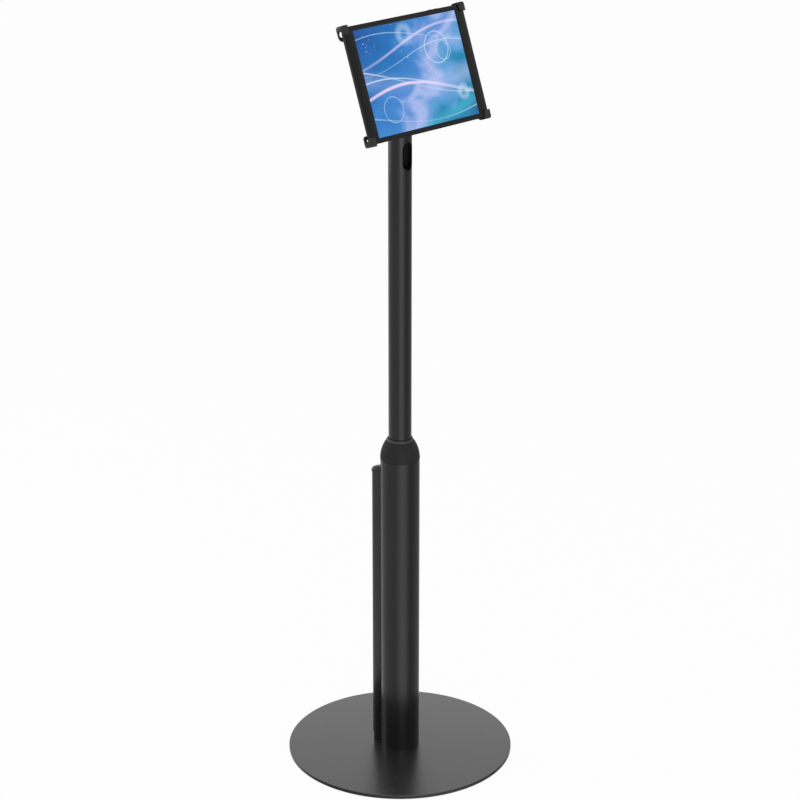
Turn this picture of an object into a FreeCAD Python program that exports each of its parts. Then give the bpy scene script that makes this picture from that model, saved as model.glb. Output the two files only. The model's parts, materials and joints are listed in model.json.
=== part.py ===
import FreeCAD, Part
import math
import os

# Tablet floor stand. Sizes are in millimetres. It stands on Z = 0, centred on the Z axis, and faces -Y.

# Base plate, its feet and its bolt
base_radius = 175.0
base_thickness = 5.7
foot_count = 6
foot_length = 30.0
foot_width = 12.0
foot_thickness = 1.2
foot_sink = 0.7
foot_circle_radius = 155.0
base_bolt_radius = 5.0
base_bolt_across_flats = 16.0
base_bolt_head_height = 2.6
base_bolt_end_margin = 3.0
bolt_hole_clearance = 0.2
head_recess = 0.2

# Lower tube, with the floor welded into its foot
lower_radius = 30.0
lower_wall = 2.0
lower_length = 483.0
tube_floor_thickness = 10.0
window_width = 10.0
window_height = 36.0
window_drop = 69.0

# Cable cover along the lower tube, its cap and the clips that it snaps over
cover_turn = 25.0
cover_half_width = 8.0
cover_standoff = 6.5
cover_wall = 1.5
cover_foot_gap = 0.2
cover_drop = 21.5
notch_half_width = 4.5
notch_height = 14.0
cap_thickness = 1.5
cap_overhang = 1.0
cap_plug_depth = 6.0
clip_count = 3
clip_height = 20.0
clip_thickness = 1.0
clip_leg_length = 6.2
clip_lowest_rise = 54.0
clip_spacing = 150.0

# Collet bush in the mouth of the lower tube
bush_depth = 40.0
finger_radius = 19.3
finger_slot_count = 4
finger_slot_width = 1.6
finger_slot_lift = 4.0
nose_radius = 20.3
nose_tip_radius = 18.5
nose_rise = 0.3
nose_height = 3.6

# Domed twist collar
dome_height = 29.9
dome_arc_radius = 51.0
dome_base_margin = 0.25
dome_band_count = 3
collar_seam = 0.3

# Upper tube, its glide bush and the liner of its cable slot
upper_radius = 17.5
upper_wall = 2.0
upper_length = 670.0
upper_insertion = 109.0
glide_height = 26.0
glide_groove_width = 12.0
glide_groove_depth = 7.0
slot_width = 19.0
slot_height = 42.0
slot_drop = 88.6
liner_wall = 2.0
liner_proud = 0.6

# Tilt yoke pressed into the top of the upper tube
yoke_plug_depth = 35.0
pivot_rise = 24.1
tongue_half_width = 8.0
tongue_radius = 11.0
tongue_inset = 1.0

# Tilt bracket, cross bolt and nut
rest_lean_degrees = 20.0
bracket_thickness = 3.0
bracket_half_width = 24.0
bracket_half_height = 19.0
ear_radius = 12.0
ear_root_half_height = 15.0
bolt_radius = 4.0
bolt_across_flats = 13.0
tilt_bolt_head_height = 5.0
tilt_nut_height = 6.5

# Hub that turns the holder between landscape and portrait
hub_half_width = 56.0
hub_half_height = 40.0
hub_corner_bevel = 9.0
hub_back_wall = 2.6
hub_cover_thickness = 2.2
hub_pad_thickness = 0.6
hub_pad_width = 10.0
hub_pad_inset = 14.0
swivel_head_height = 3.0
swivel_nut_height = 4.0
peg_reach = 60.0
peg_length = 6.0
peg_width = 4.0

# Sliding arms
arm_width = 16.0
arm_thickness = 3.0
arm_travel = 25.0
arm_inner_radius = 26.0
arm_end_inset = 13.5
arm_end_bevel = 4.0

# Corner claws and their linings
claw_reach_width = 9.5
claw_reach_height = 10.5
claw_side_reach = 4.2
claw_wall = 1.6
claw_lip_thickness = 1.8
claw_lip_round = 5.0
claw_corner_round = 4.0
claw_plate_thickness = 2.9
claw_tongue_reach = 30.0
lining_thickness = 1.0
eye_inset = 3.5
upper_ear_length = 19.0
upper_ear_round = 8.0
upper_eye_radius = 4.7
upper_eye_drop = 8.9
lower_ear_length = 14.3
lower_ear_round = 4.0
lower_eye_radius = 2.9
lower_eye_drop = 7.4

# Tablet
glass_offset = 37.3
tablet_width = 240.0
tablet_height = 167.3
tablet_thickness = 7.5
tablet_corner_radius = 10.0
tablet_back_bevel = 3.0
shell_wall = 3.0
shell_back_wall = 1.2
shell_front_inset = 0.2
glass_thickness = 1.0
glass_inset = 0.8
bezel_side_margin = 18.25
bezel_end_margin = 7.3
panel_margin = 2.5
panel_thickness = 1.5
battery_thickness = 3.2
battery_gap = 4.0
battery_side_gap = 20.0
battery_end_gap = 23.65
board_width = 24.0
board_thickness = 2.4
board_gap = 2.0
board_side_gap = 22.0
board_end_gap = 13.65
port_height = 9.0
port_width = 2.6
port_depth = 5.0
button_thickness = 2.0
button_proud = 0.6
button_tail = 0.9
button_depth = 2.6
power_length = 11.0
power_rise = 52.0
volume_length = 9.0
volume_spacing = 12.0
volume_shift = 62.0

# Clearances, how far a cutting tool runs past what it cuts, and how close counts as in a plane
fixed_fit = 0.05
running_fit = 0.05
slide_fit = 0.1
overshoot = 1.0
in_plane = 1e-6
tablet_side_gap = 0.15
tablet_face_gap = 0.1

# Levels along Z
base_bottom = foot_thickness - foot_sink
base_top = base_bottom + base_thickness
lower_top = base_top + lower_length
lower_bore = lower_radius - lower_wall
upper_bore = upper_radius - upper_wall
upper_bottom = lower_top - upper_insertion
upper_top = upper_bottom + upper_length
pivot_z = upper_top + pivot_rise
slot_z = upper_top - slot_drop
collar_bottom = lower_top + collar_seam
collar_top = collar_bottom + dome_height
nose_bottom = collar_top + nose_rise
finger_top = nose_bottom + nose_height
cover_bottom = base_top + cover_foot_gap
cover_top = lower_top - cover_drop
cover_centre_y = lower_radius + cover_standoff

# Depths behind the front of the glass, counted towards the stand
plate_front = tablet_thickness + tablet_face_gap
arm_front = plate_front + claw_plate_thickness
arm_back = arm_front + arm_thickness
channel_front = arm_front - slide_fit
channel_back = arm_back + slide_fit
hub_back = channel_back + hub_back_wall
bracket_front = hub_back + slide_fit
bracket_back = bracket_front + bracket_thickness

# The tablet's own layout, and the arms that run along its diagonals
half_width = tablet_width / 2
half_height = tablet_height / 2
screen_width = tablet_width - 2 * bezel_side_margin
screen_height = tablet_height - 2 * bezel_end_margin
board_left = half_width - board_side_gap - board_width
battery_left = battery_side_gap - half_width
battery_width = (board_left - board_gap - battery_left - battery_gap) / 2
diagonal = math.hypot(half_width, half_height)
along_x = half_width / diagonal
along_z = half_height / diagonal
corners = {"top_left": (-1, 1), "top_right": (1, 1), "bottom_left": (-1, -1), "bottom_right": (1, -1)}

V = FreeCAD.Vector
up = V(0, 0, 1)
right = V(1, 0, 0)
back = V(0, 1, 0)


def cylinder(radius, height, base, axis):
    return Part.makeCylinder(radius, height, base, axis)


def block(low, high):
    size = high.sub(low)
    return Part.makeBox(size.x, size.y, size.z, low)


def face_of(start, legs):
    # A leg of one point is a straight side. A leg of two is an arc through the first to the second.
    edges = []
    here = start
    for leg in legs:
        if len(leg) == 1:
            edges.append(Part.LineSegment(here, leg[0]).toShape())
        else:
            edges.append(Part.Arc(here, leg[0], leg[1]).toShape())
        here = leg[-1]
    return Part.Face(Part.Wire(edges))


def turned(start, legs):
    # A solid of revolution from an outline in radius and height.
    return face_of(start, legs).revolve(V(0, 0, 0), up, 360)


def fused(shapes):
    whole = shapes[0]
    for shape in shapes[1:]:
        whole = whole.fuse(shape)
    return whole.removeSplitter()


def cut_all(shape, tools):
    for tool in tools:
        shape = shape.cut(tool)
    return shape


def round_the_axis(shape, count):
    copies = []
    for index in range(count):
        copy = shape.copy()
        copy.rotate(V(0, 0, 0), up, index * 360.0 / count)
        copies.append(copy)
    return copies


def hexagon_prism(across_flats, height, base, axis):
    corner_radius = across_flats / math.sqrt(3)
    points = []
    for corner in (0, 1, 2, 3, 4, 5, 0):
        angle = math.radians(60 * corner)
        points.append(V(corner_radius * math.cos(angle), corner_radius * math.sin(angle), 0))
    prism = Part.Face(Part.makePolygon(points)).extrude(V(0, 0, height))
    prism.Placement = FreeCAD.Placement(base, FreeCAD.Rotation(up, axis))
    return prism


def rounded_slab(wide, tall, radius, front, rear):
    # A plate with rounded corners across X and Z, from one depth to another.
    x = wide / 2
    z = tall / 2
    bite = radius * (1 - math.sqrt(0.5))
    y = depth(front)
    legs = [
        [V(x - radius, y, -z)],
        [V(x - bite, y, -z + bite), V(x, y, -z + radius)],
        [V(x, y, z - radius)],
        [V(x - bite, y, z - bite), V(x - radius, y, z)],
        [V(-x + radius, y, z)],
        [V(-x + bite, y, z - bite), V(-x, y, z - radius)],
        [V(-x, y, -z + radius)],
        [V(-x + bite, y, -z + bite), V(-x + radius, y, -z)],
    ]
    return face_of(V(-x + radius, y, -z), legs).extrude(V(0, rear - front, 0))


def prism(points, front, rear):
    # A flat prism whose outline is given across X and Z, from one depth to another.
    around = []
    for x, z in points + points[:1]:
        around.append(V(x, depth(front), z))
    return Part.Face(Part.makePolygon(around)).extrude(V(0, rear - front, 0))


def oblong(wide, tall, y, length):
    # A prism with half-round ends across X and Z, from y towards +Y.
    radius = wide / 2
    rise = tall / 2 - radius
    legs = [
        [V(radius, y, rise)],
        [V(0, y, rise + radius), V(-radius, y, rise)],
        [V(-radius, y, -rise)],
        [V(0, y, -rise - radius), V(radius, y, -rise)],
    ]
    return face_of(V(radius, y, -rise), legs).extrude(V(0, length, 0))


def depth(behind_glass):
    # The head is built upright with the tilt axis at the origin, and the glass in front of it.
    return behind_glass - glass_offset


def lean(shape):
    # Leans a piece of the head back and lifts it to the tilt axis.
    leaned = shape.copy()
    leaned.rotate(V(0, 0, 0), right, -rest_lean_degrees)
    leaned.translate(V(0, 0, pivot_z))
    return leaned


def save(name, shape):
    shape.exportStep("parts/" + name + ".step")


# Base


def base_plate():
    seat = V(0, 0, base_bottom)
    plate = cylinder(base_radius, base_thickness, seat, up)
    hole = cylinder(base_bolt_radius + bolt_hole_clearance, base_thickness, seat, up)
    pocket_width = base_bolt_across_flats + 2 * fixed_fit
    pocket = hexagon_prism(pocket_width, base_bolt_head_height + head_recess, seat, up)
    return cut_all(plate, [hole, pocket] + foot_strips(fixed_fit))


def foot_strips(margin):
    # Flat strips sunk into the plate's underside, set square to its radius.
    half_width = foot_width / 2 + margin
    half_length = foot_length / 2 + margin
    low = V(foot_circle_radius - half_width, -half_length, 0)
    strip = block(low, V(foot_circle_radius + half_width, half_length, foot_thickness))
    strip.rotate(V(0, 0, 0), up, 180.0 / foot_count)
    return round_the_axis(strip, foot_count)


def rubber_feet():
    return Part.makeCompound(foot_strips(0))


def base_bolt():
    # The plate's pocket holds the head, and the tube's floor screws down onto the shank.
    start = V(0, 0, base_bottom + head_recess)
    end = base_top + tube_floor_thickness + base_bolt_end_margin
    head = hexagon_prism(base_bolt_across_flats, base_bolt_head_height, start, up)
    return fused([head, cylinder(base_bolt_radius, end - start.z, start, up)])


# Lower tube and cable cover


def clip_levels():
    levels = []
    for index in range(clip_count):
        levels.append(base_top + clip_lowest_rise + index * clip_spacing)
    return levels


def lower_tube():
    floor_top = base_top + tube_floor_thickness
    thread = base_bolt_radius + fixed_fit
    legs = [
        [V(lower_radius, 0, base_top)],
        [V(lower_radius, 0, lower_top)],
        [V(lower_bore, 0, lower_top)],
        [V(lower_bore, 0, floor_top)],
        [V(thread, 0, floor_top)],
        [V(thread, 0, base_top)],
    ]
    tube = turned(V(thread, 0, base_top), legs)
    half = window_width / 2
    middle = lower_top - window_drop
    window = block(V(-half, 0, middle - window_height / 2),
                   V(half, lower_radius + overshoot, middle + window_height / 2))
    return tube.cut(on_cover_side(window))


def on_cover_side(shape):
    # The cover stands a little to the left of straight behind the tablet.
    shape.rotate(V(0, 0, 0), up, cover_turn)
    return shape


def cover_section(half, bottom, height):
    # The cover's round-backed section, filled from the tube's axis to its back.
    centre = cover_centre_y
    legs = [
        [V(half, centre, bottom)],
        [V(0, centre + half, bottom), V(-half, centre, bottom)],
        [V(-half, 0, bottom)],
        [V(half, 0, bottom)],
    ]
    return face_of(V(half, 0, bottom), legs).extrude(V(0, 0, height))


def lower_tube_space(bottom, height):
    return cylinder(lower_radius + fixed_fit, height, V(0, 0, bottom), up)


def cable_cover():
    height = cover_top - cover_bottom
    outside = cover_section(cover_half_width, cover_bottom, height)
    inside = cover_section(cover_half_width - cover_wall, cover_bottom, height)
    notch = oblong(2 * notch_half_width, 2 * notch_height, cover_centre_y, 2 * cover_half_width)
    notch.translate(V(0, 0, cover_bottom))
    return cut_all(outside, [inside, lower_tube_space(cover_bottom, height), notch])


def cover_cap():
    lid = cover_section(cover_half_width + cap_overhang, cover_top, cap_thickness)
    plug_half = cover_half_width - cover_wall - slide_fit
    plug = block(V(-plug_half, lower_radius + fixed_fit, cover_top - cap_plug_depth),
                 V(plug_half, cover_centre_y, cover_top))
    return fused([lid.cut(lower_tube_space(cover_top, cap_thickness)), plug])


def cover_clips():
    half = cover_half_width - cover_wall - fixed_fit
    start = lower_radius + fixed_fit
    far = start + clip_leg_length
    leg_gap = half - clip_thickness
    clips = []
    for level in clip_levels():
        low = level - clip_height / 2
        high = level + clip_height / 2
        outside = block(V(-half, start, low), V(half, far, high))
        clips.append(outside.cut(block(V(-leg_gap, start + clip_thickness, low), V(leg_gap, far, high))))
    return Part.makeCompound(clips)


# Telescope


def collet_bush():
    bore = upper_radius + running_fit
    body = lower_bore - fixed_fit
    low = lower_top - bush_depth
    legs = [
        [V(body, 0, low)],
        [V(body, 0, lower_top)],
        [V(finger_radius, 0, lower_top)],
        [V(finger_radius, 0, nose_bottom)],
        [V(nose_radius, 0, nose_bottom)],
        [V(nose_tip_radius, 0, finger_top)],
        [V(bore, 0, finger_top)],
        [V(bore, 0, low)],
    ]
    bush = turned(V(bore, 0, low), legs)
    half = finger_slot_width / 2
    start = lower_top + finger_slot_lift
    slot = block(V(0, -half, start), V(nose_radius + overshoot, half, finger_top + overshoot))
    return cut_all(bush, round_the_axis(slot, finger_slot_count))


def dome_radius(rise):
    # The dome bulges along an arc that leaves the lower tube's line upright.
    centre = lower_radius + dome_base_margin - dome_arc_radius
    return centre + math.sqrt(dome_arc_radius ** 2 - rise ** 2)


def dome_collar():
    seat = finger_radius + slide_fit
    # Straight bands whose corners lie on the arc.
    legs = []
    for index in range(dome_band_count + 1):
        rise = index * dome_height / dome_band_count
        legs.append([V(dome_radius(rise), 0, collar_bottom + rise)])
    legs += [[V(seat, 0, collar_top)], [V(seat, 0, collar_bottom)]]
    return turned(V(seat, 0, collar_bottom), legs)


def glide_bush():
    body = lower_bore - slide_fit
    bore = upper_radius + running_fit
    low = upper_bottom
    high = low + glide_height
    legs = [[V(body, 0, low)], [V(body, 0, high)], [V(bore, 0, high)], [V(bore, 0, low)]]
    bush = turned(V(bore, 0, low), legs)
    half = glide_groove_width / 2
    groove = block(V(-half, body - glide_groove_depth, low), V(half, lower_radius, high))
    return bush.cut(groove)


def upper_tube():
    outside = cylinder(upper_radius, upper_length, V(0, 0, upper_bottom), up)
    inside = cylinder(upper_bore, upper_length, V(0, 0, upper_bottom), up)
    slot = oblong(slot_width, slot_height, -2 * upper_radius, 2 * upper_radius)
    slot.translate(V(0, 0, slot_z))
    return cut_all(outside, [inside, slot])


def slot_liner():
    # A rubber sleeve through the tube's wall, proud of the outside and flat on the inside.
    reach = 2 * upper_radius
    inner_face = -math.sqrt(upper_bore ** 2 - slot_width ** 2 / 4)
    sleeve = oblong(slot_width - 2 * fixed_fit, slot_height - 2 * fixed_fit, -reach, reach + inner_face)
    hole = oblong(slot_width - 2 * liner_wall, slot_height - 2 * liner_wall, -reach, reach)
    rim = cylinder(upper_radius + liner_proud, 2 * slot_height, V(0, 0, -slot_height), up)
    liner = sleeve.common(rim).cut(hole)
    liner.translate(V(0, 0, slot_z))
    return liner


def tilt_yoke():
    plug_radius = upper_bore - fixed_fit
    plug = cylinder(plug_radius, yoke_plug_depth, V(0, 0, upper_top - yoke_plug_depth), up)
    r = tongue_radius
    w = tongue_half_width
    # The tongue flares from its round head down to the plug.
    flare = math.sqrt(plug_radius ** 2 - w ** 2) - tongue_inset
    legs = [
        [V(-w, flare, upper_top)],
        [V(-w, r, pivot_z - r / 2)],
        [V(-w, r, pivot_z)],
        [V(-w, 0, pivot_z + r), V(-w, -r, pivot_z)],
        [V(-w, -r, pivot_z - r / 2)],
        [V(-w, -flare, upper_top)],
    ]
    tongue = face_of(V(-w, -flare, upper_top), legs).extrude(V(2 * w, 0, 0))
    bolt_hole = cylinder(bolt_radius + running_fit, 2 * w, V(-w, 0, pivot_z), right)
    return fused([plug, tongue]).cut(bolt_hole)


# Tilt joint, built upright round the origin


def tilt_bracket():
    x = bracket_half_width
    z = bracket_half_height
    plate = prism([(-x, -z), (x, -z), (x, z), (-x, z)], bracket_front, bracket_back)
    inner = tongue_half_width + slide_fit
    y = depth(bracket_front)
    h = ear_root_half_height
    # Each cheek runs from the plate to a round eye, its sides tangent to the eye.
    reach = math.hypot(y, h)
    turn = math.atan2(h, -y) + math.asin(ear_radius / reach) - math.pi / 2
    tangent_y = -ear_radius * math.sin(turn)
    tangent_z = ear_radius * math.cos(turn)
    ears = []
    for x in (-inner - bracket_thickness, inner):
        legs = [
            [V(x, tangent_y, tangent_z)],
            [V(x, ear_radius, 0), V(x, tangent_y, -tangent_z)],
            [V(x, y, -h)],
            [V(x, y, h)],
        ]
        ears.append(face_of(V(x, y, h), legs).extrude(V(bracket_thickness, 0, 0)))
    bracket = fused([plate] + ears)
    reach = inner + bracket_thickness
    bolt_hole = cylinder(bolt_radius + fixed_fit, 2 * reach, V(-reach, 0, 0), right)
    swivel_start = V(0, depth(bracket_front), 0)
    swivel_hole = cylinder(bolt_radius + running_fit, bracket_thickness, swivel_start, back)
    return cut_all(bracket, [bolt_hole, swivel_hole])


def tilt_bolt():
    ear_outside = tongue_half_width + slide_fit + bracket_thickness
    shank = cylinder(bolt_radius, 2 * ear_outside, V(-ear_outside, 0, 0), right)
    head_start = V(-ear_outside - tilt_bolt_head_height, 0, 0)
    return fused([shank, hexagon_prism(bolt_across_flats, tilt_bolt_head_height, head_start, right)])


def tilt_nut():
    # A blind nut, closed over the bolt's end.
    seat = V(tongue_half_width + slide_fit + bracket_thickness, 0, 0)
    return hexagon_prism(bolt_across_flats, tilt_nut_height, seat, right)


# Hub, built upright round the origin


def along_diagonal(shape, side, level):
    # Turns a piece that lies along +X from the middle onto the diagonal to one corner.
    turned_piece = shape.copy()
    angle = math.degrees(math.atan2(along_z * level, along_x * side))
    turned_piece.rotate(V(0, 0, 0), back, -angle)
    return turned_piece


def hub_outline():
    x = hub_half_width
    z = hub_half_height
    c = hub_corner_bevel
    lower = [(-x, c - z), (c - x, -z), (x - c, -z), (x, c - z)]
    upper = [(x, z - c), (x - c, z), (c - x, z), (-x, z - c)]
    return lower + upper


def hub_housing():
    body = prism(hub_outline(), channel_front, hub_back)
    half = arm_width / 2 + slide_fit
    length = math.hypot(hub_half_width, hub_half_height)
    inner = arm_inner_radius - slide_fit
    # Each channel has a peg in its floor that stops the arm at both ends of its slot.
    for side, level in corners.values():
        low = V(inner, depth(channel_front), -half)
        channel = block(low, V(length, depth(channel_back), half))
        peg_low = V(peg_reach - peg_length, depth(arm_front), -peg_width / 2)
        peg = block(peg_low, V(peg_reach, depth(channel_back), peg_width / 2))
        body = body.cut(along_diagonal(channel.cut(peg), side, level))
    front = V(0, depth(channel_front), 0)
    pocket = hexagon_prism(bolt_across_flats + 2 * fixed_fit, swivel_head_height, front, back)
    hole = cylinder(bolt_radius + fixed_fit, hub_back - channel_front, front, back)
    return cut_all(body, [pocket, hole])


def hub_cover():
    return prism(hub_outline(), channel_front - hub_cover_thickness, channel_front)


def hub_pads():
    # A strip along each long side of the cover, where the tablet's back rests.
    rear = channel_front - hub_cover_thickness
    front = rear - hub_pad_thickness
    x = hub_half_width - hub_pad_inset
    pads = []
    for level in (-1, 1):
        near = level * (hub_half_height - hub_pad_inset)
        far = near + level * hub_pad_width
        pads.append(prism([(-x, near), (x, near), (x, far), (-x, far)], front, rear))
    return Part.makeCompound(pads)


def swivel_bolt():
    start = V(0, depth(channel_front), 0)
    head = hexagon_prism(bolt_across_flats, swivel_head_height, start, back)
    return fused([head, cylinder(bolt_radius, bracket_back - channel_front, start, back)])


def swivel_nut():
    # A blind nut, closed over the bolt's end.
    return hexagon_prism(bolt_across_flats, swivel_nut_height, V(0, depth(bracket_back), 0), back)


# Arms and claws, built upright round the origin


def arm(side, level):
    half = arm_width / 2
    tip = diagonal - arm_end_inset
    inner = arm_inner_radius
    y = depth(arm_front)
    legs = [
        [V(tip - arm_end_bevel, y, -half)],
        [V(tip, y, -half + arm_end_bevel)],
        [V(tip, y, half - arm_end_bevel)],
        [V(tip - arm_end_bevel, y, half)],
        [V(inner, y, half)],
        [V(inner, y, -half)],
    ]
    bar = face_of(V(inner, y, -half), legs).extrude(V(0, arm_thickness, 0))
    half_slot = peg_width / 2 + slide_fit
    slot_start = peg_reach - peg_length - arm_travel - slide_fit
    slot = block(V(slot_start, y, -half_slot), V(peg_reach + slide_fit, depth(arm_back), half_slot))
    return along_diagonal(bar.cut(slot), side, level)


def to_corner(shape, side, level):
    # Carries a piece built at the upper right corner to one of the four.
    placed = shape
    if side < 0:
        placed = placed.mirror(V(0, 0, 0), right)
    if level < 0:
        placed = placed.mirror(V(0, 0, 0), up)
    return placed


def claw_slab(points, front, rear):
    # A flat prism whose outline is given from the tablet's corner, outwards positive.
    moved = []
    for a, b in points:
        moved.append((half_width + a, half_height + b))
    return prism(moved, front, rear)


def claw(side, level, ear_length, ear_round, eye_radius, eye_drop):
    seat = tablet_side_gap + lining_thickness + fixed_fit
    out = seat + claw_wall
    w = claw_reach_width
    h = claw_reach_height
    front = -tablet_face_gap - claw_lip_thickness
    lip = claw_slab([(-w, -h), (out, -h), (out, out), (-w, out)], front, -tablet_face_gap)
    s = claw_side_reach
    side_wall = claw_slab([(seat, -s), (out, -s), (out, out), (seat, out)], front, arm_front)
    top_wall = claw_slab([(-w, seat), (out, seat), (out, out), (-w, out)], front, arm_front)
    # The rear plate runs inwards along the diagonal, as wide as the arm.
    half = arm_width / 2
    a = -claw_tongue_reach * along_x
    b = -claw_tongue_reach * along_z
    upper_end = (a - half * along_z, b + half * along_x)
    lower_end = (a + half * along_z, b - half * along_x)
    outline = [(-w, -ear_length), (out, -ear_length), (out, out), (-w, out), upper_end, lower_end]
    body = fused([lip, side_wall, top_wall, claw_slab(outline, plate_front, arm_front)])
    eye_place = V(half_width - eye_inset, depth(plate_front), half_height - eye_drop)
    waste = [
        corner_waste(out, out, claw_corner_round, 1, front, arm_front),
        corner_waste(out, -ear_length, ear_round, -1, plate_front, arm_front),
        lip_waste(-w, -h, claw_lip_round, front, -tablet_face_gap),
        cylinder(eye_radius, claw_plate_thickness, eye_place, back),
    ]
    return to_corner(cut_all(body, waste), side, level)


def corner_waste(a, b, radius, upward, front, rear):
    # What is cut from a square outer corner to round it.
    low = min(b, b - upward * radius)
    outline = [(a - radius, low), (a, low), (a, low + radius), (a - radius, low + radius)]
    square = claw_slab(outline, front, rear)
    centre = V(half_width + a - radius, depth(front), half_height + b - upward * radius)
    return square.cut(cylinder(radius, rear - front, centre, back))


def lip_waste(a, b, radius, front, rear):
    # What is cut from the lip's inner corner to round it.
    square = claw_slab([(a, b), (a + radius, b), (a + radius, b + radius), (a, b + radius)], front, rear)
    centre = V(half_width + a + radius, depth(front), half_height + b + radius)
    return square.cut(cylinder(radius, rear - front, centre, back))


def claw_lining(side, level):
    near = tablet_side_gap
    far = near + lining_thickness
    w = claw_reach_width
    s = claw_side_reach
    elbow = [(near, -s), (far, -s), (far, far), (-w, far), (-w, near), (near, near)]
    return to_corner(claw_slab(elbow, 0, plate_front), side, level)


# Tablet, built upright round the origin


def edges_at_depth(shape, behind_glass):
    found = []
    for edge in shape.Edges:
        box = edge.BoundBox
        if abs(box.YMin - depth(behind_glass)) < in_plane and box.YLength < in_plane:
            found.append(edge)
    return found


def tablet_shell():
    body = rounded_slab(tablet_width, tablet_height, tablet_corner_radius,
                        shell_front_inset, tablet_thickness)
    body = body.makeChamfer(tablet_back_bevel, edges_at_depth(body, tablet_thickness))
    floor = tablet_thickness - shell_back_wall
    cavity = rounded_slab(tablet_width - 2 * shell_wall, tablet_height - 2 * shell_wall,
                          tablet_corner_radius - shell_wall, glass_thickness, floor)
    rebate = rounded_slab(tablet_width - 2 * glass_inset, tablet_height - 2 * glass_inset,
                          tablet_corner_radius - glass_inset, 0, glass_thickness)
    port_x = half_width - port_depth
    port = block(V(port_x, depth(button_depth), -port_height / 2),
                 V(half_width + overshoot, depth(button_depth + port_width), port_height / 2))
    tools = [cavity, rebate, port]
    for low, high in button_boxes(slide_fit, overshoot).values():
        tools.append(block(low, high))
    return cut_all(body, tools)


def bezel_glass():
    inset = glass_inset + fixed_fit
    glass = rounded_slab(tablet_width - 2 * inset, tablet_height - 2 * inset,
                         tablet_corner_radius - inset, 0, glass_thickness)
    half_screen = V(screen_width / 2 + fixed_fit, 0, screen_height / 2 + fixed_fit)
    low = V(-half_screen.x, depth(0), -half_screen.z)
    high = V(half_screen.x, depth(glass_thickness), half_screen.z)
    return glass.cut(block(low, high))


def display_panel():
    x = screen_width / 2
    z = screen_height / 2
    m = panel_margin
    start = glass_thickness + fixed_fit
    face = block(V(-x, depth(fixed_fit), -z), V(x, depth(start), z))
    rear = block(V(-x - m, depth(start), -z - m), V(x + m, depth(start + panel_thickness), z + m))
    return fused([face, rear])


def battery_cells():
    rear = tablet_thickness - shell_back_wall - fixed_fit
    z = half_height - battery_end_gap
    cells = []
    for left in (battery_left, battery_left + battery_width + battery_gap):
        low = V(left, depth(rear - battery_thickness), -z)
        cells.append(block(low, V(left + battery_width, depth(rear), z)))
    return Part.makeCompound(cells)


def logic_board():
    rear = tablet_thickness - shell_back_wall - fixed_fit
    z = half_height - board_end_gap
    low = V(board_left, depth(rear - board_thickness), -z)
    return block(low, V(board_left + board_width, depth(rear), z))


def button_boxes(gap, reach):
    # Each button from its tail inside the wall to its proud face, grown by a gap all round.
    near = depth(button_depth - gap)
    far = depth(button_depth + button_thickness + gap)
    tail = shell_wall + button_tail
    boxes = {}
    low = V(half_width - tail, near, power_rise - power_length / 2 - gap)
    high = V(half_width + reach, far, power_rise + power_length / 2 + gap)
    boxes["power_button"] = (low, high)
    for name, place in (("volume_down_button", -0.5), ("volume_up_button", 0.5)):
        x = volume_shift + place * volume_spacing
        low = V(x - volume_length / 2 - gap, near, half_height - tail)
        high = V(x + volume_length / 2 + gap, far, half_height + reach)
        boxes[name] = (low, high)
    return boxes


def build():
    os.makedirs("parts", exist_ok=True)
    save("base_plate", base_plate())
    save("rubber_feet", rubber_feet())
    save("base_bolt", base_bolt())
    save("lower_tube", lower_tube())
    save("cable_cover", on_cover_side(cable_cover()))
    save("cover_cap", on_cover_side(cover_cap()))
    save("cover_clips", on_cover_side(cover_clips()))
    save("collet_bush", collet_bush())
    save("dome_collar", dome_collar())
    save("glide_bush", glide_bush())
    save("upper_tube", upper_tube())
    save("slot_liner", slot_liner())
    save("tilt_yoke", tilt_yoke())
    save("tilt_bracket", lean(tilt_bracket()))
    save("tilt_bolt", lean(tilt_bolt()))
    save("tilt_nut", lean(tilt_nut()))
    save("hub_housing", lean(hub_housing()))
    save("hub_cover", lean(hub_cover()))
    save("hub_pads", lean(hub_pads()))
    save("swivel_bolt", lean(swivel_bolt()))
    save("swivel_nut", lean(swivel_nut()))
    for corner, (side, level) in corners.items():
        if level > 0:
            piece = claw(side, level, upper_ear_length, upper_ear_round, upper_eye_radius, upper_eye_drop)
        else:
            piece = claw(side, level, lower_ear_length, lower_ear_round, lower_eye_radius, lower_eye_drop)
        save("arm_" + corner, lean(arm(side, level)))
        save("claw_" + corner, lean(piece))
        save("claw_lining_" + corner, lean(claw_lining(side, level)))
    save("tablet_shell", lean(tablet_shell()))
    save("bezel_glass", lean(bezel_glass()))
    save("display_panel", lean(display_panel()))
    save("battery_cells", lean(battery_cells()))
    save("logic_board", lean(logic_board()))
    for name, (low, high) in button_boxes(0, button_proud).items():
        save(name, lean(block(low, high)))


build()
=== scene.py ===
# Looks of a tablet floor stand, in the frame of its solids. Pieces are set in millimetres, and coats, lights
# and camera in metres.
import json
import math

import bmesh
import bpy
from mathutils import Matrix, Vector


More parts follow.
